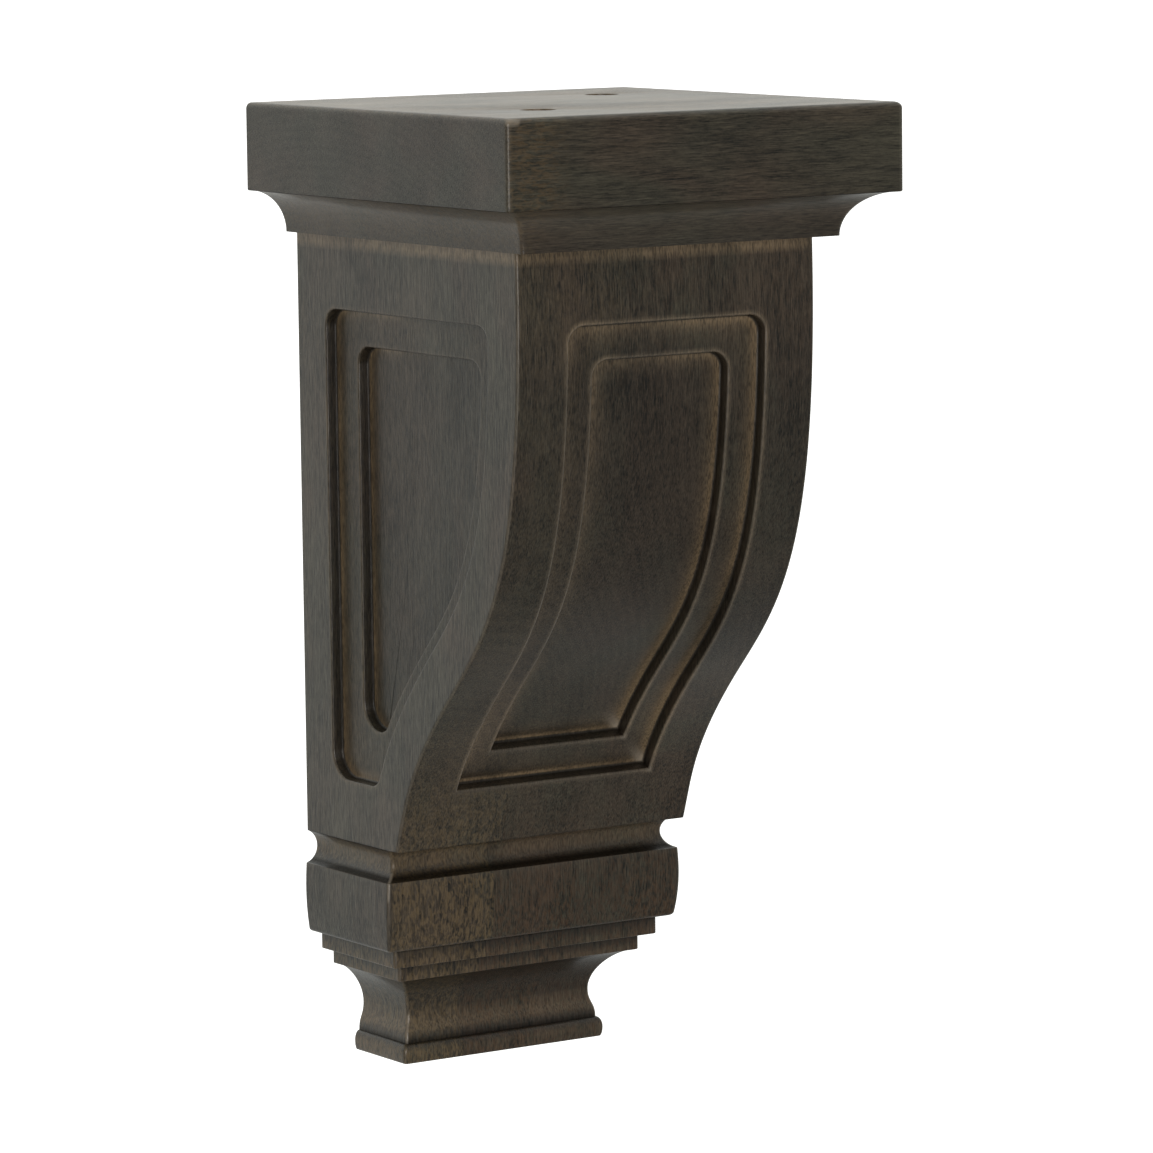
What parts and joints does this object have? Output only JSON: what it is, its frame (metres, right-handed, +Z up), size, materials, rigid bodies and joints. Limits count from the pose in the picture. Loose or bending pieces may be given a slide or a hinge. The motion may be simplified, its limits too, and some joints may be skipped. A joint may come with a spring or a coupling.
{
  "type": "decorative corbel",
  "caption": "Wooden wall corbel with a moulded square cap, an S-curved bracket with stepped panels sunk in its front and sides, and a small moulded foot.",
  "frame": {"origin": "on the flat back that goes against the wall, at the middle of the width and halfway up", "axes": "+Z up, +Y into the wall, so the curved front faces -Y, and +X to the right of someone facing the front"},
  "size_m": [0.165, 0.171, 0.3496],
  "materials": {
    "cap_wood": "dark espresso stain under satin lacquer, grain across the width",
    "body_wood": "dark espresso stain under satin lacquer, upright grain in glued staves"
  },
  "bodies": {
    "root": {"cap": "cap_wood", "body": "body_wood"}
  },
  "joints": []
}
